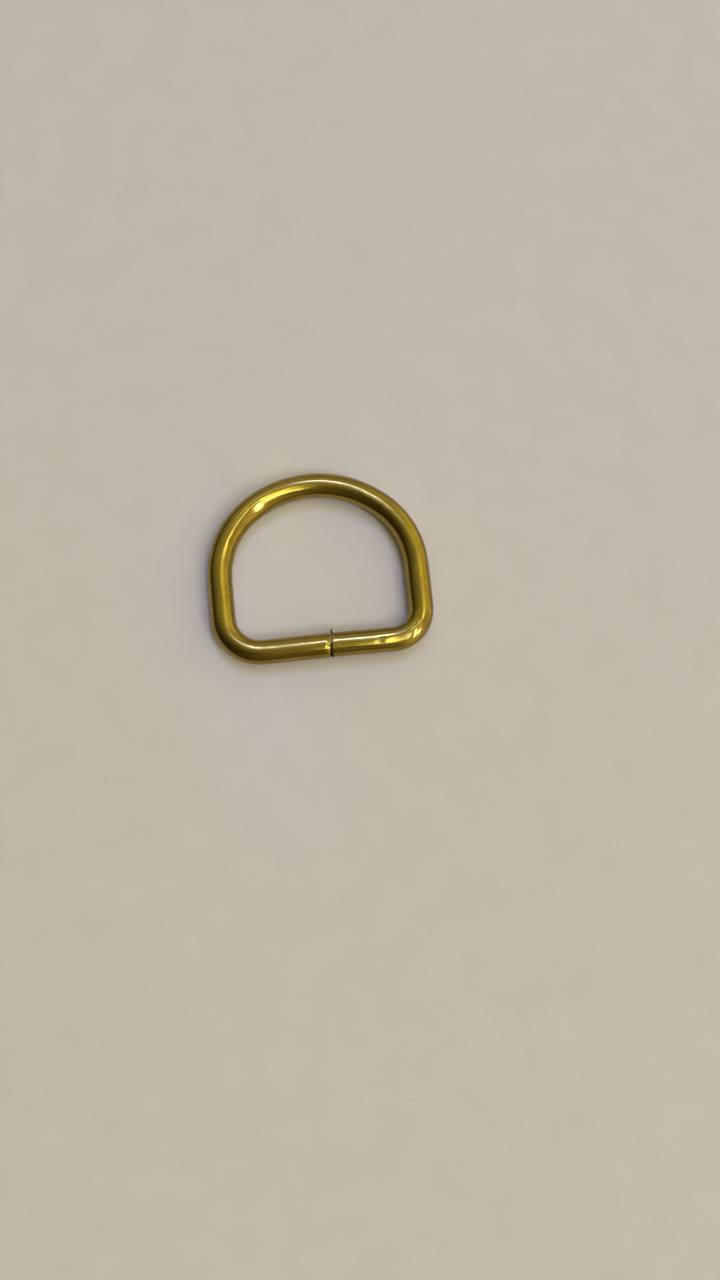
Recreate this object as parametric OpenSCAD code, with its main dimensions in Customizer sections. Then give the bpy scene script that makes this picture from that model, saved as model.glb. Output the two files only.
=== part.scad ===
// D ring bent from one length of round brass wire, lying flat on its side.
// The two wire ends meet, unsoldered, in the middle of the straight bar.
// +X runs along the bar, +Y from the bar to the arch, and Z = 0 is the surface it lies on.
// The origin is below the middle of the outline. All sizes are in millimetres.

/* [Ring] */
// Clear width between the two sides, which the strap fills
inside_w = 25.7; // [20:0.1:40]
// Clear height from the right half of the bar to the top of the arch
inside_h = 20.7; // [17:0.1:30]
// Diameter of the wire
wire_d = 3.5; // [2:0.1:5]

/* [Bends] */
// Inside radius of the bend at the right end of the bar
right_bend_r = 2.7; // [1:0.1:6]
// Inside radius of the bend at the left end of the bar
left_bend_r = 3.4; // [1:0.1:6]
// Inside radius of each shoulder, where a side turns into the arch
shoulder_r = 10.7; // [6:0.1:14]
// Angle that each shoulder turns through, in degrees
shoulder_angle = 50; // [35:1:60]

/* [Wire ends] */
// How far right of the middle of the bar the wire ends meet
seam_x = 0.75; // [-3:0.05:3]
// Gap between the wire ends
seam_gap = 0.25; // [0.1:0.05:1]
// How much lower the left half of the bar lies than the right half
seam_step = 0.15; // [0:0.05:0.5]
// Length of the rim that cropping rolled over on the left wire end
roll_l = 1.2; // [0.6:0.1:2]
// Depth of that rolled rim at the cut
roll_depth = 0.4; // [0.1:0.05:0.5]
// How far the cropping burr on the right wire end stands out towards the arch
burr_out = 0.55; // [0.2:0.05:1]
// Thickness of the burr
burr_t = 0.25; // [0.15:0.05:0.5]
// How far the burr stands out of the right wire end's face
burr_proud = 0.1; // [0.05:0.01:0.12]

/* [Hidden] */
// Facets round the wire, and per full turn of a bend
wire_fn = 64;
bend_fn = 180;

// A length to the nearest thousandth of a millimetre
function rounded(length) = round(length * 1000) / 1000;

wire_r = wire_d / 2;
half_w = (inside_w + wire_d) / 2;
right_bend = right_bend_r + wire_r;
left_bend = left_bend_r + wire_r;
shoulder = shoulder_r + wire_r;

// The arch starts where the shoulders end, and its radius closes the outline
arch_r = (half_w - shoulder * (1 - cos(shoulder_angle))) / cos(shoulder_angle);
arch_rise = shoulder * sin(shoulder_angle) + arch_r * (1 - sin(shoulder_angle));

// Centreline heights, from the top of the arch down
top_y = (inside_h + wire_d + seam_step) / 2;
shoulder_y = top_y - arch_rise;
right_side_l = rounded(inside_h + wire_d - arch_rise - right_bend);
left_side_l = rounded(inside_h + wire_d - arch_rise - left_bend + seam_step);
right_bar_y = shoulder_y - right_side_l - right_bend;
left_bar_y = shoulder_y - left_side_l - left_bend;

// Faces of the two wire ends
left_end_x = seam_x - seam_gap / 2;
burr_x = seam_x + seam_gap / 2;
right_end_x = burr_x + burr_proud;

// The rolled rim is an arc that leaves the wire's surface smoothly
roll_r = (roll_l * roll_l + roll_depth * roll_depth) / (2 * roll_depth);

brass = [0.66, 0.54, 0.17];

// Moves in a coarse and a fine step, so that the joints of the wire still meet exactly
// in a file that keeps six digits of each number
module place(x, y, z = 0) {
    coarse = [for (value = [x, y, z]) round(value * 100) / 100];
    translate(coarse)
        translate([x, y, z] - coarse)
            children();
}

// Straight wire, upwards along Z
module straight_wire(length) {
    cylinder(h = length, r = wire_r, $fn = wire_fn);
}

// Bent wire round a centre, through some degrees from a starting angle
module bent_wire(x, y, radius, start, turn) {
    place(x, y, wire_r)
        rotate_extrude(angle = turn, start = start, $fn = bend_fn)
            place(radius, 0)
                circle(r = wire_r, $fn = wire_fn);
}

// Half section of a wire end whose rim narrows along an arc
module rolled_section(length) {
    square([wire_r, length - roll_l]);
    translate([0, length - roll_l])
        intersection() {
            square([wire_r, roll_l]);
            union() {
                translate([wire_r - roll_r, 0])
                    circle(r = roll_r, $fn = 4 * bend_fn);
                translate([-roll_r, 0])
                    square([wire_r, roll_l]);
            }
        }
}

// Straight wire whose far end has the rolled rim, upwards along Z
module rolled_wire(length) {
    rotate_extrude($fn = wire_fn)
        rolled_section(length);
}

// Shoulder, side and bend of one half, drawn as the right one.
// The child is its half of the bar, drawn upwards from the end of the bend.
module half_ring(bend, side_l, bar_y) {
    bent_wire(half_w - shoulder, shoulder_y, shoulder, 0, shoulder_angle);
    place(half_w, shoulder_y - side_l, wire_r)
        rotate([-90, 0, 0])
            straight_wire(side_l);
    bent_wire(half_w - bend, bar_y + bend, bend, -90, 90);
    place(half_w - bend, bar_y, wire_r)
        rotate([0, -90, 0])
            children();
}

// Burr on the right wire end: a thin disc that stands out on the arch side
module right_end_burr() {
    place(burr_x, right_bar_y + burr_out, wire_r)
        rotate([0, 90, 0])
            straight_wire(burr_t);
}

// The whole ring, one piece of wire
module d_ring() {
    color(brass) {
        half_ring(right_bend, right_side_l, right_bar_y)
            straight_wire(half_w - right_bend - right_end_x);
        right_end_burr();
        bent_wire(0, top_y - arch_r, arch_r, shoulder_angle, 180 - 2 * shoulder_angle);
        mirror([1, 0, 0])
            half_ring(left_bend, left_side_l, left_bar_y)
                rolled_wire(half_w - left_bend + left_end_x);
    }
}

d_ring();
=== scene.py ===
# D ring bent from round brass wire, lying on a plain pale surface under soft studio light.
# The frame gives the outside sizes in metres. Lengths here are in millimetres, and MM turns them into metres.
# +X runs along the straight bar, +Y from the bar to the arch, and Z = 0 is the surface.
# Places along the wire are counted from its right end, anticlockwise round the ring to its left end.

import math

import bpy
import numpy as np
from mathutils import Euler, Matrix, Vector


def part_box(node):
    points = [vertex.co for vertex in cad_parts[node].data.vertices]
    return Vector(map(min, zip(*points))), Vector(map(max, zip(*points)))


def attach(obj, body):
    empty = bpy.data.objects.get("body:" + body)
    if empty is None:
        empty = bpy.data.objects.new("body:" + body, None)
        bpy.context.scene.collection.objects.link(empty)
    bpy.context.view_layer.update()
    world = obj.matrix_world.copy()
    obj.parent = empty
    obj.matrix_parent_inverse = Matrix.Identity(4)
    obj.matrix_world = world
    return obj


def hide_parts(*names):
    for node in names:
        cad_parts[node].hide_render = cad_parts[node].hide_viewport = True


MM = 0.001

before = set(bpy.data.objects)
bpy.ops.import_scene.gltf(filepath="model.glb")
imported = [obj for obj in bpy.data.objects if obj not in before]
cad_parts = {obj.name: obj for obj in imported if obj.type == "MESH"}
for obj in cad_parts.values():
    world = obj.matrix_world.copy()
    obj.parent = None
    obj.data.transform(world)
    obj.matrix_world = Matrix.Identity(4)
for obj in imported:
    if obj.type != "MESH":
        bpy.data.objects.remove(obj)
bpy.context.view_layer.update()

# Outside of the ring, from the frame
ring_low, ring_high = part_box("d_ring")
WIRE_R = (ring_high.z - ring_low.z) / MM / 2
# Bending leaves the wire a little wider than it is high
WIDENING = 1.04
SIDE_R = WIRE_R * WIDENING
# Centreline of the wire: half its width, the top of the arch and the left half of the bar
HALF_W = (ring_high.x - ring_low.x) / MM / 2 - SIDE_R
TOP_Y = ring_high.y / MM - SIDE_R
LEFT_BAR_Y = ring_low.y / MM + SIDE_R

# Bends: the centreline's radii, how far a shoulder turns, and the spread over which a bend sets in
RIGHT_BEND = 2.7 + WIRE_R
LEFT_BEND = 3.4 + WIRE_R
SHOULDER = 10.7 + WIRE_R
SHOULDER_ANGLE = math.radians(50)
BEND_EASE = 0.5

# Seam: places of the two wire ends, how much lower the left one lies and how its half of the bar tilts,
# the slope of the two cuts, and how far from a cut the surface follows that slope
RIGHT_END_X = 0.75
LEFT_END_X = 0.70
SEAM_STEP = 0.15
LEFT_BAR_TILT = math.radians(0.8)
SEAM_SLOPE = math.tan(math.radians(3))
SEAM_REACH = 1.0

# Burr on the right wire end: how far it is pushed towards the arch, how thick it is, the length over which
# it ends, and how much is gone from its rim
BURR_OUT = 0.5
BURR_T = 0.2
BURR_FADE = 0.04
BURR_TRIM = 0.05

# Ragged rim of the burr: waves round it, start in radians, height
BURR_WAVES = [
    (9, 0, 0.04),
    (23, 1, 0.03),
]

# Rolled rim on the left wire end: its length and its depth at the cut, what the wire's top and the ring's
# outside add to each, and how closely these keep to the top and the outside
RIM_L = 0.4
RIM_L_TOP = 0.95
RIM_L_OUTSIDE = 0.3
RIM_DEPTH = 0.05
RIM_DEPTH_TOP = 0.18
RIM_DEPTH_OUTSIDE = 0.3
RIM_FOCUS = 1.5

# Where bending has pinched the wire: place along it, length and share, which is negative on the inner side
PINCHES = [
    (10.4, 2.4, 0.14),
    (53.2, 3.2, -0.14),
    (78.0, 3.5, 0.06),
]

# Shallow dents from bending, on the upper side: places along and out from the wire's middle,
# half length, half width, slant in degrees, depth
DENTS = [
    (7.1, 0.25, 0.5, 0.5, 0, 0.03),
    (9.4, 0.10, 1.7, 0.42, -8, 0.04),
    (12.0, 0.60, 1.0, 0.40, -30, 0.12),
    (13.4, 0.25, 1.2, 0.25, -25, 0.03),
    (37.2, -0.52, 0.5, 0.12, 8, 0.02),
    (53.2, -0.70, 2.0, 0.50, -8, 0.08),
    (60.4, -0.65, 0.5, 0.14, 0, 0.02),
    (77.0, 0.80, 0.25, 0.20, 0, 0.03),
]

# Long low waves that drawing and bending leave all over: radians for each millimetre along the wire,
# waves round it, start in radians, share of the depth
WAVES = [
    (1.3, 2, 0, 1.0),
    (0.47, -3, 1, 1.0),
    (2.9, 1, 2, 0.6),
]
WAVE_DEPTH = 0.002

# Dark spots on the upper side: places along and out from the wire's middle, size, share
SPOTS = [
    (7.3, 0.35, 0.45, 0.5),
    (10.6, -0.6, 1.1, 0.35),
    (13.6, 0.75, 0.6, 0.3),
    (67.6, -0.9, 0.15, 0.5),
    (69.0, -0.95, 0.18, 0.4),
    (77.0, 0.8, 0.2, 0.5),
]

# Darkening of the burr: its share, and the places along the wire between which it ends
BURR_DARKENING = 0.9
BURR_DARKENED_TO = (0.17, 0.25)

# Painted highlight at the left cut, on the arch side, a pale patch on the brass: the distances from the cut
# between which it sets in, and the places out from the wire's middle between which it ends
PAINTED_HIGHLIGHT_FROM = (0.26, 0.14)
PAINTED_HIGHLIGHT_TO = (-0.1, 0.3)

# Mesh: fineness of the traced centreline, sides round the wire, spacing of the rings along it, and the
# angle from which an edge is sharp
TRACE_STEP = 0.01
SIDES = 96
RING_STEP = 0.13
SHARP_ANGLE = math.radians(38)

# Closer rings at the wire ends: places at the right one, with the burr, and length, number and crowding
# towards the cut at the left one
RIGHT_END_PLACES = [0, 0.03, 0.06, 0.12, 0.17, BURR_T, 0.22, 0.24, 0.27, 0.32, 0.4, 0.5, 0.64, 0.8]
LEFT_END_L = 2.4
LEFT_END_RINGS = 30
LEFT_END_CROWDING = 1.3

# Rings on a cut face, as shares of the wire's radius
CAP_SHARES = [0.93, 0.8, 0.6, 0.3]

# Colours of the brass: bright and tarnished, its specks, its dark marks, and a pale painted highlight at the
# cut
BRIGHT_BRASS = (0.352, 0.257, 0.054, 1)
TARNISHED_BRASS = (0.26, 0.183, 0.042, 1)
SPECKED_BRASS = (0.12, 0.08, 0.03, 1)
DARKENED_BRASS = (0.045, 0.022, 0.01, 1)
# Pale colour of the painted highlight at the left cut
PAINTED_HIGHLIGHT_BRASS = (0.85, 0.72, 0.6, 1)

# Noises on the straightened brass, as scales along, out and up: clouds of tarnish, drawn lines and grain
CLOUD_SCALE = (0.35, 0.7, 0.7)
LINE_SCALE = (0.5, 9.0, 9.0)
GRAIN_SCALE = (7.0, 9.0, 9.0)

# Where in the range of the clouds tarnish sets in, and of the grain specks, and the most of a speck's colour
TARNISH_RANGE = (0.35, 0.75)
SPECK_RANGE = (0.68, 0.78)
MOST_SPECKED = 0.6

# Roughness of the brass: least and most, least and most that the drawn lines add, and what the dark marks and
# the painted highlight add
BRASS_ROUGHNESS = (0.13, 0.2)
LINE_ROUGHNESS = (-0.02, 0.04)
DARKENED_ROUGHNESS = 0.45
PAINTED_HIGHLIGHT_ROUGHNESS = 0.4

# Height of the drawn lines and of the grain
LINE_HEIGHT = 0.0025
GRAIN_HEIGHT = 0.0015

# Surface below the ring: darker and lighter mottling and specks, the scales of both for each metre, where
# specks set in and the most of their colour, roughness, shine and half its width
SURFACE_SHADE = (0.643, 0.592, 0.575, 1)
SURFACE_LIGHT = (0.667, 0.616, 0.600, 1)
SURFACE_SPECK = (0.3, 0.27, 0.24, 1)
MOTTLING_SCALE = (150.0, 150.0, 150.0)
SURFACE_SPECK_SCALE = (1500.0, 1500.0, 1500.0)
SURFACE_SPECK_RANGE = (0.74, 0.84)
SURFACE_MOST_SPECKED = 0.35
SURFACE_ROUGHNESS = 0.8
SURFACE_SHINE = 0.2
FLOOR_HALF = 4000.0

# Noises: all of a noise's range, its middle, where most of it lies, and how rough each is
WHOLE = (0.0, 1.0)
MIDDLE = (0.3, 0.7)
NOISE_ROUGHNESS = 0.6

# Camera: where its axis meets the surface, how far it is from there, how it is turned, its lens and sensor,
# and the nearest and farthest that it sees
AIM = (5.16, -11.36, 0.0)
CAMERA_DISTANCE = 148.0
CAMERA_TURN = math.radians(-5.13)
CAMERA_TILT = math.radians(8.0)
CAMERA_SWING = math.radians(-4.15)
CAMERA_LENS = 28.125
CAMERA_SENSOR = 36.0
CAMERA_NEAR = 5.0
CAMERA_FAR = 20000.0

# Height of the ceiling that carries the panels
CEILING = 1500.0

# Energy that gives a square metre of light a radiance of 1
ENERGY_PER_AREA = 4

# Panels on the ceiling: name, start and end, width, colour, radiance. Places are to the picture's right and
# upwards, and they and the widths are shares of the ceiling's height.
PANELS = [
    ("window_top", (-0.03, 0.66), (0.08, 0.64), 0.11, (0.20, 0.28, 1.0), 46.0),
    ("window_side", (0.115, 0.68), (0.13, 0.34), 0.03, (0.22, 0.28, 1.0), 40.0),
    ("lamp_near", (0.26, -0.66), (0.24, -0.08), 0.11, (0.85, 0.9, 0.65), 7.0),
    ("lamp_ridge", (-0.15, 0.36), (-0.18, 0.54), 0.05, (0.75, 0.85, 1.0), 3.0),
    ("lamp_right", (0.20, 0.10), (0.55, 0.09), 0.08, (0.96, 1.0, 0.8), 4.0),
    ("lamp_corner", (0.46, -0.42), (0.96, -0.78), 0.28, (0.7, 0.75, 1.0), 8.0),
    ("lamp_side", (0.30, 0.13), (0.89, 0.38), 0.41, (1.0, 0.92, 0.35), 0.5),
    ("lamp_low", (8.0, 0.3), (14.0, 0.5), 1.5, (1.0, 0.75, 0.2), 2.0),
]

# Lights with grids: name, place on the ring, start and end, width, height above the ring, reach round the
# place, colour, radiance. Starts, ends and widths are shares of the height.
GRID_LIGHTS = [
    ("grid_arch", (8.4, 9.6), (0.15, 0.40), (0.06, 0.25), 0.035, 120, 10, (0.25, 0.33, 1.0), 26.0),
    ("grid_shoulder", (9.0, 9.2), (0.02, 0.18), (-0.06, 0.04), 0.035, 120, 5, (0.25, 0.33, 1.0), 30.0),
    ("grid_corner", (-11.5, -11.3), (0.05, 0.28), (-0.06, 0.64), 0.05, 120, 11, (0.22, 0.30, 1.0), 38.0),
    ("grid_middle", (-4.2, 11.4), (0.08, -0.30), (-0.03, 0.14), 0.25, 25, 5, (1.0, 0.98, 0.5), 5.0),
    ("grid_second", (-11.5, 6.5), (0.0, 0.23), (0.46, 0.03), 0.10, 60, 12, (1.0, 0.96, 0.5), 1.6),
]

# Glows of the sky: degrees anticlockwise from the picture's right, degrees from straight up, sharpness,
# colour, radiance
SKY = [
    (0, 0, 0.0, (1.0, 0.9, 0.5), 0.03),
    (0, 72, 10.0, (1.0, 0.88, 0.6), 0.4),
    (36, 75, 8.0, (1.0, 0.88, 0.45), 0.9),
    (324, 75, 8.0, (1.0, 0.85, 0.4), 0.95),
    (36, 42, 8.0, (1.0, 0.88, 0.15), 0.5),
    (324, 42, 8.0, (1.0, 0.75, 0.05), 0.25),
    (108, 42, 8.0, (1.0, 0.93, 0.3), 0.35),
    (100, 75, 8.0, (0.9, 0.9, 0.8), 0.4),
    (265, 60, 6.0, (1.0, 0.85, 0.5), 0.1),
    (150, 42, 8.0, (1.0, 0.95, 0.6), 0.22),
    (90, 12, 12.0, (1.0, 1.0, 0.3), 0.28),
]
BACKDROP = (0.56, 0.52, 0.44, 1)


def smooth_step(start, end, value):
    """0 up to start, 1 from end, and smooth in between."""
    share = np.clip((value - start) / (end - start), 0, 1)
    return share * share * (3 - 2 * share)


def bump_at(value, middle, width):
    """A smooth bump of height 1."""
    return np.exp(-(((value - middle) / width) ** 2))


def add_object(name, data):
    """A new object in the scene."""
    thing = bpy.data.objects.new(name, data)
    bpy.context.scene.collection.objects.link(thing)
    return thing


# The wire's centreline

def wire_stretches():
    """Length and turn of each stretch, from the right wire end anticlockwise to the left one."""
    cosine = math.cos(SHOULDER_ANGLE)
    sine = math.sin(SHOULDER_ANGLE)
    arch = (HALF_W - SHOULDER * (1 - cosine)) / cosine
    arch_rise = SHOULDER * sine + arch * (1 - sine)
    inner_rise = TOP_Y - LEFT_BAR_Y - arch_rise
    left_turn = math.pi / 2 + LEFT_BAR_TILT
    return [
        (HALF_W - RIGHT_BEND - RIGHT_END_X, 0.0),
        (RIGHT_BEND * math.pi / 2, math.pi / 2),
        (inner_rise - SEAM_STEP - RIGHT_BEND, 0.0),
        (SHOULDER * SHOULDER_ANGLE, SHOULDER_ANGLE),
        (arch * (math.pi - 2 * SHOULDER_ANGLE), math.pi - 2 * SHOULDER_ANGLE),
        (SHOULDER * SHOULDER_ANGLE, SHOULDER_ANGLE),
        (inner_rise - LEFT_BEND, 0.0),
        (LEFT_BEND * left_turn, left_turn),
        (HALF_W - LEFT_BEND + LEFT_END_X, 0.0),
    ]


def trace_wire():
    """Place along the wire, x, y and heading at fine, even steps, with the bends eased in and out."""
    stretches = wire_stretches()
    ends = np.cumsum([length for length, turn in stretches])
    along = np.arange(0, ends[-1], TRACE_STEP)
    which = np.minimum(np.searchsorted(ends, along), len(stretches) - 1)
    rates = np.array([turn / length for length, turn in stretches])
    # The easing is a bell curve that is cut off at three times its spread
    reach = int(3 * BEND_EASE / TRACE_STEP)
    easing = np.exp(-0.5 * (np.arange(-reach, reach + 1) * TRACE_STEP / BEND_EASE) ** 2)
    rate = np.convolve(np.pad(rates[which], reach, mode="edge"), easing / easing.sum(), mode="valid")
    heading = np.cumsum(rate) * TRACE_STEP
    x = RIGHT_END_X + np.cumsum(np.cos(heading)) * TRACE_STEP
    y = LEFT_BAR_Y + SEAM_STEP + np.cumsum(np.sin(heading)) * TRACE_STEP
    # Easing changes the outline's size a little, so it is brought back to the frame's
    x = (x - (x.min() + x.max()) / 2) * 2 * HALF_W / (x.max() - x.min())
    y = LEFT_BAR_Y + (y - y.min()) * (TOP_Y - LEFT_BAR_Y) / (y.max() - y.min())
    return along, x, y, heading


def ring_places(total):
    """Places of the mesh's rings along the wire, closer together at the two wire ends."""
    shares = [ring / LEFT_END_RINGS for ring in range(LEFT_END_RINGS + 1)]
    left_end = [total - LEFT_END_L * (1 - share) ** LEFT_END_CROWDING for share in shares]
    count = int((left_end[0] - RIGHT_END_PLACES[-1]) / RING_STEP)
    middle = np.linspace(RIGHT_END_PLACES[-1], left_end[0], count + 1)[1:-1]
    return np.concatenate([RIGHT_END_PLACES, middle, left_end])


# The wire's surface, where angle 0 round the wire is the ring's outside and a quarter turn is the top

def burr_radius(round_angle):
    """Radius of the burr's rim about the wire's axis: a disc that is pushed towards the arch."""
    inward = -np.cos(round_angle)
    across = np.abs(np.sin(round_angle))
    rim = BURR_OUT * inward + np.sqrt(WIRE_R**2 - (BURR_OUT * across) ** 2)
    ragged = sum(height * np.sin(waves * round_angle + start) for waves, start, height in BURR_WAVES)
    return np.maximum(rim + ragged * np.clip(inward, 0, 1) - BURR_TRIM, WIRE_R)


def rolled_rim(from_end, round_angle):
    """How far the surface drops near the left wire end: far outside and on top, hardly on the arch side."""
    top = np.clip(np.sin(round_angle), 0, 1)
    outside = np.clip(np.cos(round_angle), 0, 1)
    inside = np.clip(-np.cos(round_angle), 0, 1)
    length = RIM_L + RIM_L_TOP * top**RIM_FOCUS + RIM_L_OUTSIDE * outside
    depth = RIM_DEPTH + RIM_DEPTH_TOP * top * (1 - inside) ** 2 + RIM_DEPTH_OUTSIDE * outside**RIM_FOCUS
    return depth * np.clip(1 - from_end / length, 0, 1) ** 3


def dent_depth(along, round_angle):
    """Depth of the dents at a place along the wire and an angle round it."""
    outward = WIRE_R * np.cos(round_angle)
    depth = np.zeros(np.broadcast(along, round_angle).shape)
    for middle, out, half_length, half_width, slant, deepest in DENTS:
        turn = math.radians(slant)
        lengthways = (along - middle) * math.cos(turn) + (outward - out) * math.sin(turn)
        sideways = (outward - out) * math.cos(turn) - (along - middle) * math.sin(turn)
        depth = depth + deepest * np.exp(-((lengthways / half_length) ** 2) - (sideways / half_width) ** 2)
    return depth * (np.sin(round_angle) > 0)


def unevenness(along, round_angle):
    """Depth of the long low waves in the surface, 0 where all of them are highest."""
    height = 0
    highest = 0
    for pace, turns, start, share in WAVES:
        height = height + share * np.sin(pace * along + turns * round_angle + start)
        highest = highest + share
    return WAVE_DEPTH * (highest - height)


def wire_radius(along, round_angle, total):
    """Radius of the surface at a place along the wire and an angle round it."""
    radius = WIRE_R - unevenness(along, round_angle) - dent_depth(along, round_angle)
    radius = radius - rolled_rim(total - along, round_angle)
    burr = 1 - smooth_step(BURR_T, BURR_T + BURR_FADE, along)
    return radius + (burr_radius(round_angle) - WIRE_R) * burr


def pinch(along):
    """How much the wire's outer side is pinched by bending, as a share of its height."""
    return sum(share * bump_at(along, middle, length) for middle, length, share in PINCHES)


def surface_points():
    """Points of the wire's surface, ring after ring, in the bent ring and in the straightened wire."""
    traced, traced_x, traced_y, traced_heading = trace_wire()
    total = traced[-1]
    places = ring_places(total)
    caps = len(CAP_SHARES)
    along = np.concatenate([np.zeros(caps), places, np.full(caps, total)])[:, None]
    shares = np.concatenate([CAP_SHARES[::-1], np.ones(len(places)), CAP_SHARES])[:, None]
    round_angle = np.linspace(0, 2 * math.pi, SIDES, endpoint=False)
    radius = wire_radius(along, round_angle, total) * shares
    outward = radius * WIDENING * np.cos(round_angle)
    # A pinch lifts the wire's highest line a little, and the last factor takes that back
    pinched = pinch(along)
    upward = radius * np.sin(round_angle) * (1 - pinched * np.cos(round_angle)) * (1 - pinched**2 / 2)
    near_end = bump_at(along, 0, SEAM_REACH) + bump_at(along, total, SEAM_REACH)
    shift = -SEAM_SLOPE * outward * near_end
    heading = np.interp(along, traced, traced_heading)
    x = np.interp(along, traced, traced_x) + outward * np.sin(heading) + shift * np.cos(heading)
    y = np.interp(along, traced, traced_y) - outward * np.cos(heading) + shift * np.sin(heading)
    bent = np.stack([x, y, WIRE_R + upward], -1).reshape(-1, 3)
    straight = np.stack([along + shift, outward, upward], -1).reshape(-1, 3)
    return bent, straight


def sweep_wire():
    """Vertices, faces and straightened places of the ring's mesh, closed at both wire ends."""
    vertices, straight = surface_points()
    index = np.arange(len(vertices)).reshape(-1, SIDES)
    after = np.roll(index, -1, axis=1)
    faces = np.stack([index[:-1], index[1:], after[1:], after[:-1]], -1).reshape(-1, 4).tolist()
    for ring in (0, -1):
        middle = len(vertices)
        vertices = np.concatenate([vertices, vertices[index[ring]].mean(0, keepdims=True)])
        straight = np.concatenate([straight, straight[index[ring]].mean(0, keepdims=True)])
        for here, there in zip(index[ring], after[ring]):
            faces.append((middle, here, there) if ring == 0 else (middle, there, here))
    return vertices, faces, straight


def painted_highlight_share(straight):
    """How much of the painted highlight each point has: a pale patch at the left wire end's cut, on the arch
    side.
    """
    along = straight[:, 0]
    total = along.max()
    edge = smooth_step(total - PAINTED_HIGHLIGHT_FROM[0], total - PAINTED_HIGHLIGHT_FROM[1], along)
    return edge * (1 - smooth_step(*PAINTED_HIGHLIGHT_TO, straight[:, 1]))


def darkened(straight):
    """How darkened each point is: the burr with its cut face, and a few small spots."""
    along = straight[:, 0]
    darkness = BURR_DARKENING * (1 - smooth_step(*BURR_DARKENED_TO, along))
    for middle, out, size, share in SPOTS:
        distance = np.hypot(along - middle, straight[:, 1] - out) / size
        darkness = darkness + share * np.exp(-distance**2) * (straight[:, 2] > 0)
    return np.clip(darkness, 0, 1)


def make_ring(material):
    """The ring as one swept mesh, whose points carry their straightened place, dark marks and painted
    highlight.
    """
    vertices, faces, straight = sweep_wire()
    mesh = bpy.data.meshes.new("ring_wire")
    mesh.from_pydata((vertices * MM).tolist(), [], faces)
    mesh.polygons.foreach_set("use_smooth", [True] * len(mesh.polygons))
    mesh.set_sharp_from_angle(angle=SHARP_ANGLE)
    place = mesh.attributes.new("wire_place", "FLOAT_VECTOR", "POINT")
    place.data.foreach_set("vector", straight.astype(np.float32).ravel())
    # Shares of the dark marks and of the painted highlight at each point
    for name, values in (("darkening", darkened(straight)), ("painted_highlight", painted_highlight_share(straight))):
        attribute = mesh.attributes.new(name, "FLOAT", "POINT")
        attribute.data.foreach_set("value", values.astype(np.float32))
    mesh.materials.append(material)
    return add_object("ring_wire", mesh)


# Nodes

def add_node(tree, kind, **settings):
    """A node with some of its properties and named inputs set."""
    node = tree.nodes.new(kind)
    for key, value in settings.items():
        if hasattr(node, key):
            setattr(node, key, value)
        else:
            node.inputs[key].default_value = value
    return node


def feed(tree, socket, value):
    """Sets an input to a value, or links another node's output to it."""
    if isinstance(value, bpy.types.NodeSocket):
        tree.links.new(value, socket)
    else:
        socket.default_value = value


def maths(tree, operation, *values):
    """The result of a maths node on numbers or other nodes' outputs."""
    node = add_node(tree, "ShaderNodeMath", operation=operation)
    for socket, value in zip(node.inputs, values):
        feed(tree, socket, value)
    return node.outputs[0]


def vector_maths(tree, operation, first, second):
    """The result of a vector maths node on two vectors, given as numbers or as other nodes' outputs."""
    node = add_node(tree, "ShaderNodeVectorMath", operation=operation)
    feed(tree, node.inputs[0], first)
    feed(tree, node.inputs[1], second)
    return node.outputs["Value" if operation == "DOT_PRODUCT" else "Vector"]


def stretched_noise(tree, place, scale, detail):
    """Noise with its own scale in each of a place's three directions."""
    noise = add_node(tree, "ShaderNodeTexNoise", Scale=1.0, Detail=detail, Roughness=NOISE_ROUGHNESS)
    feed(tree, noise.inputs["Vector"], vector_maths(tree, "MULTIPLY", place, scale))
    return noise.outputs["Fac"]


def remap(tree, value, before, after):
    """A value taken from one range to another."""
    node = add_node(tree, "ShaderNodeMapRange")
    feed(tree, node.inputs["Value"], value)
    for socket, number in zip(("From Min", "From Max", "To Min", "To Max"), before + after):
        node.inputs[socket].default_value = number
    return node.outputs["Result"]


def blend(tree, share, first, second):
    """A mix of two colours, each given as numbers or as another node's output."""
    node = add_node(tree, "ShaderNodeMix", data_type="RGBA")
    feed(tree, node.inputs["Factor"], share)
    for name, colour in (("A", first), ("B", second)):
        socket = next(found for found in node.inputs if found.name == name and found.type == "RGBA")
        feed(tree, socket, colour)
    return next(found for found in node.outputs if found.type == "RGBA")


def new_material(name):
    """A material with nodes, its node tree and its shader."""
    material = bpy.data.materials.new(name)
    material.use_nodes = True
    tree = material.node_tree
    return material, tree, tree.nodes["Principled BSDF"]


# Materials

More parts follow.
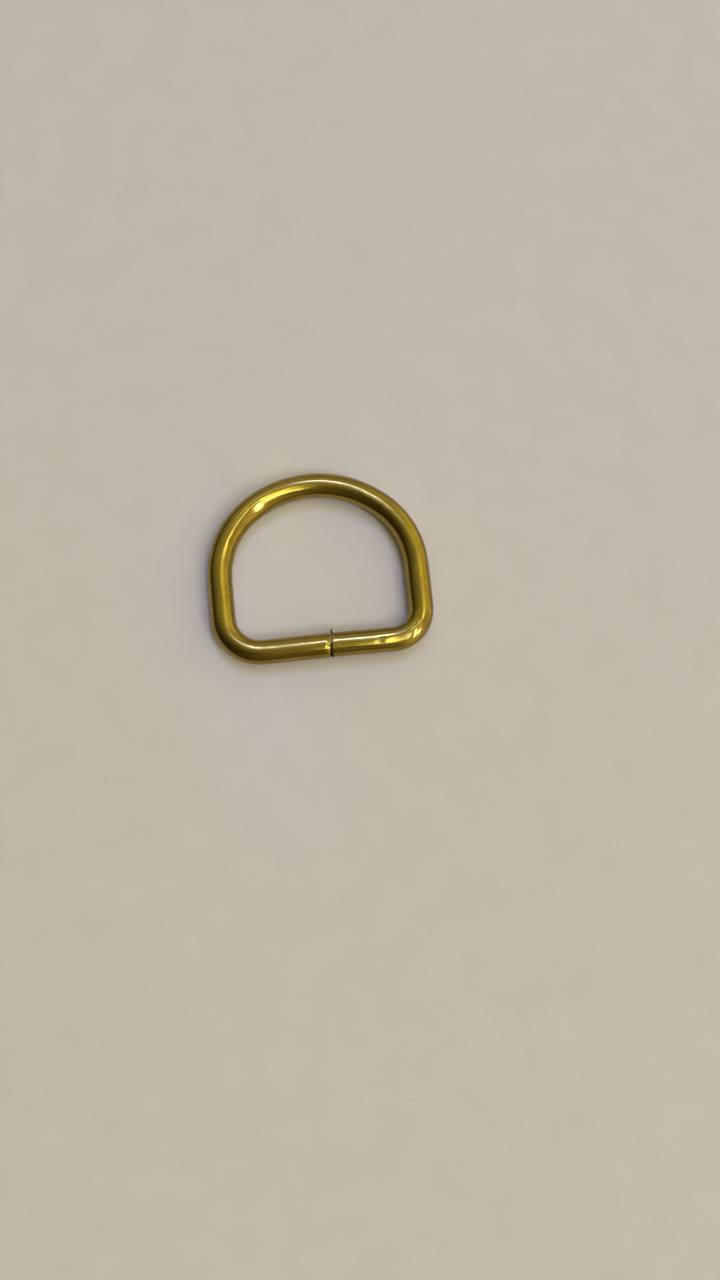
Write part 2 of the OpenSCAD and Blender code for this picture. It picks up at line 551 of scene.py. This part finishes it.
def brass():
    """Drawn brass wire: warm yellow, a little tarnished, with fine lines along it, specks, dark marks and a
    painted highlight.
    """
    material, tree, shader = new_material("brass")
    place = add_node(tree, "ShaderNodeAttribute", attribute_name="wire_place").outputs["Vector"]
    darkening = add_node(tree, "ShaderNodeAttribute", attribute_name="darkening").outputs["Fac"]
    painted_highlight = add_node(tree, "ShaderNodeAttribute", attribute_name="painted_highlight").outputs["Fac"]
    clouds = stretched_noise(tree, place, scale=CLOUD_SCALE, detail=4.0)
    lines = stretched_noise(tree, place, scale=LINE_SCALE, detail=3.0)
    grain = stretched_noise(tree, place, scale=GRAIN_SCALE, detail=2.0)

    tarnished = remap(tree, clouds, before=TARNISH_RANGE, after=WHOLE)
    specked = remap(tree, grain, before=SPECK_RANGE, after=(0.0, MOST_SPECKED))
    colour = blend(tree, tarnished, BRIGHT_BRASS, TARNISHED_BRASS)
    colour = blend(tree, specked, colour, SPECKED_BRASS)
    # Darker brass on the burr with its cut face, and at the small spots
    colour = blend(tree, darkening, colour, DARKENED_BRASS)
    # A pale painted highlight at the left cut, on the arch side
    colour = blend(tree, painted_highlight, colour, PAINTED_HIGHLIGHT_BRASS)
    feed(tree, shader.inputs["Base Color"], colour)
    feed(tree, shader.inputs["Metallic"], 1.0)

    clouded = remap(tree, clouds, before=MIDDLE, after=BRASS_ROUGHNESS)
    lined = remap(tree, lines, before=MIDDLE, after=LINE_ROUGHNESS)
    roughness = maths(tree, "ADD", clouded, lined)
    roughness = maths(tree, "MULTIPLY_ADD", darkening, DARKENED_ROUGHNESS, roughness)
    roughness = maths(tree, "MULTIPLY_ADD", painted_highlight, PAINTED_HIGHLIGHT_ROUGHNESS, roughness)
    feed(tree, shader.inputs["Roughness"], roughness)

    line_height = remap(tree, lines, before=WHOLE, after=(0.0, LINE_HEIGHT))
    grain_height = remap(tree, grain, before=WHOLE, after=(0.0, GRAIN_HEIGHT))
    bump = add_node(tree, "ShaderNodeBump", Strength=1.0, Distance=MM)
    feed(tree, bump.inputs["Height"], maths(tree, "ADD", line_height, grain_height))
    feed(tree, shader.inputs["Normal"], bump.outputs["Normal"])
    return material


def pale_surface():
    """Pale matt tabletop with a very slight mottling and a few faint specks."""
    material, tree, shader = new_material("pale_surface")
    place = add_node(tree, "ShaderNodeTexCoord").outputs["Object"]
    mottling = stretched_noise(tree, place, scale=MOTTLING_SCALE, detail=3.0)
    specks = stretched_noise(tree, place, scale=SURFACE_SPECK_SCALE, detail=1.0)
    mottled = remap(tree, mottling, before=MIDDLE, after=WHOLE)
    specked = remap(tree, specks, before=SURFACE_SPECK_RANGE, after=(0.0, SURFACE_MOST_SPECKED))
    colour = blend(tree, mottled, SURFACE_SHADE, SURFACE_LIGHT)
    colour = blend(tree, specked, colour, SURFACE_SPECK)
    feed(tree, shader.inputs["Base Color"], colour)
    feed(tree, shader.inputs["Roughness"], SURFACE_ROUGHNESS)
    feed(tree, shader.inputs["Specular IOR Level"], SURFACE_SHINE)
    return material


# The set: floor, lights and camera

def make_floor(material):
    """A wide level plane that isn't part of the ring."""
    half = FLOOR_HALF * MM
    mesh = bpy.data.meshes.new("floor")
    corners = [(-half, -half, 0), (half, -half, 0), (half, half, 0), (-half, half, 0)]
    mesh.from_pydata(corners, [], [(0, 1, 2, 3)])
    mesh.materials.append(material)
    add_object("floor", mesh)


def direction(azimuth, tilt):
    """Unit vector at degrees anticlockwise from the picture's right and degrees from straight up."""
    turn = math.radians(azimuth) + CAMERA_TURN
    lean = math.radians(tilt)
    return Vector((math.sin(lean) * math.cos(turn), math.sin(lean) * math.sin(turn), math.cos(lean)))


def on_ceiling(point):
    """A place on the ceiling, from the picture's right and upward shares of the ceiling's height."""
    turned = Matrix.Rotation(CAMERA_TURN, 2) @ Vector(point)
    return Vector((turned.x, turned.y, 1.0)) * CEILING * MM


def make_light(name, length, width, colour, radiance):
    """A soft rectangular light, sized in millimetres, that the camera doesn't see."""
    light = bpy.data.lights.new(name, "AREA")
    light.shape = "RECTANGLE"
    light.size = length * MM
    light.size_y = width * MM
    light.color = colour
    light.energy = radiance * ENERGY_PER_AREA * light.size * light.size_y
    lamp = add_object(name, light)
    lamp.visible_camera = False
    return lamp


def make_panel(name, start, end, width, colour, radiance):
    """A light that faces down from the ceiling, a straight panel between two places on it."""
    low = on_ceiling(start)
    high = on_ceiling(end)
    lamp = make_light(name, (high - low).length / MM, width * CEILING, colour, radiance)
    lamp.location = (low + high) / 2
    lamp.rotation_euler = (0, 0, math.atan2(high.y - low.y, high.x - low.x))


def make_grid_light(name, place, start, end, width, height, reach, colour, radiance):
    """A light close above the ring whose grid lets it shine on one place and a short way round it."""
    turned = Matrix.Rotation(CAMERA_TURN, 2)
    low = turned @ Vector(start)
    high = turned @ Vector(end)
    middle = (low + high) / 2
    rise = Vector((middle.x, middle.y, 1.0))
    lamp = make_light(name, (high - low).length * height, width * height, colour, radiance)
    # A grid makes the light brighter straight ahead, and the factor takes that back
    half_spread = math.atan(reach / height)
    lamp.data.spread = 2 * half_spread
    lamp.data.energy *= 1 - half_spread / math.tan(half_spread)
    lamp.location = (Vector((*place, 2 * WIRE_R)) + rise * height) * MM
    facing = rise.normalized()
    along = Vector((high.x - low.x, high.y - low.y, 0))
    along = (along - along.dot(facing) * facing).normalized()
    lamp.rotation_euler = Matrix((along, facing.cross(along), facing)).transposed().to_euler()


def sky_glow(tree, place, azimuth, tilt, sharpness, colour, radiance):
    """Light from one direction of the sky, which fades away from it, and evenly spread at sharpness 0."""
    toward = vector_maths(tree, "DOT_PRODUCT", place, direction(azimuth, tilt))
    fading = maths(tree, "MULTIPLY_ADD", toward, sharpness, -sharpness)
    glow = add_node(tree, "ShaderNodeVectorMath", operation="SCALE")
    feed(tree, glow.inputs[0], [part * radiance for part in colour])
    feed(tree, glow.inputs["Scale"], maths(tree, "EXPONENT", fading))
    return glow.outputs["Vector"]


def make_world():
    """Soft light from all round, the sum of the sky's glows, and a plain pale backdrop for the camera."""
    world = bpy.data.worlds.new("studio")
    bpy.context.scene.world = world
    world.use_nodes = True
    tree = world.node_tree
    tree.nodes.clear()
    place = add_node(tree, "ShaderNodeTexCoord").outputs["Generated"]
    total, *glows = [sky_glow(tree, place, *row) for row in SKY]
    for glow in glows:
        total = vector_maths(tree, "ADD", total, glow)
    light = add_node(tree, "ShaderNodeBackground", Strength=1.0)
    feed(tree, light.inputs["Color"], total)
    backdrop = add_node(tree, "ShaderNodeBackground", Color=BACKDROP, Strength=1.0)
    path = add_node(tree, "ShaderNodeLightPath")
    mix = add_node(tree, "ShaderNodeMixShader")
    feed(tree, mix.inputs[0], path.outputs["Is Camera Ray"])
    feed(tree, mix.inputs[1], light.outputs[0])
    feed(tree, mix.inputs[2], backdrop.outputs[0])
    out = add_node(tree, "ShaderNodeOutputWorld")
    feed(tree, out.inputs["Surface"], mix.outputs[0])


def make_camera():
    """Camera above the ring, at the photo's angle and distance."""
    data = bpy.data.cameras.new("camera")
    data.lens = CAMERA_LENS
    data.sensor_width = CAMERA_SENSOR
    data.clip_start = CAMERA_NEAR * MM
    data.clip_end = CAMERA_FAR * MM
    turned = Euler((0, 0, CAMERA_TURN)).to_matrix() @ Euler((CAMERA_TILT, 0, 0)).to_matrix()
    turned = turned @ Euler((0, CAMERA_SWING, 0)).to_matrix()
    backward = turned @ Vector((0, 0, 1))
    camera = add_object("camera", data)
    camera.location = (Vector(AIM) + backward * CAMERA_DISTANCE) * MM
    camera.rotation_euler = turned.to_euler()
    bpy.context.scene.camera = camera


ring = make_ring(brass())
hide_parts("d_ring")
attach(ring, "root")

make_floor(pale_surface())
make_world()
for panel in PANELS:
    make_panel(*panel)
for grid in GRID_LIGHTS:
    make_grid_light(*grid)
make_camera()
bpy.context.scene.view_settings.view_transform = "Standard"
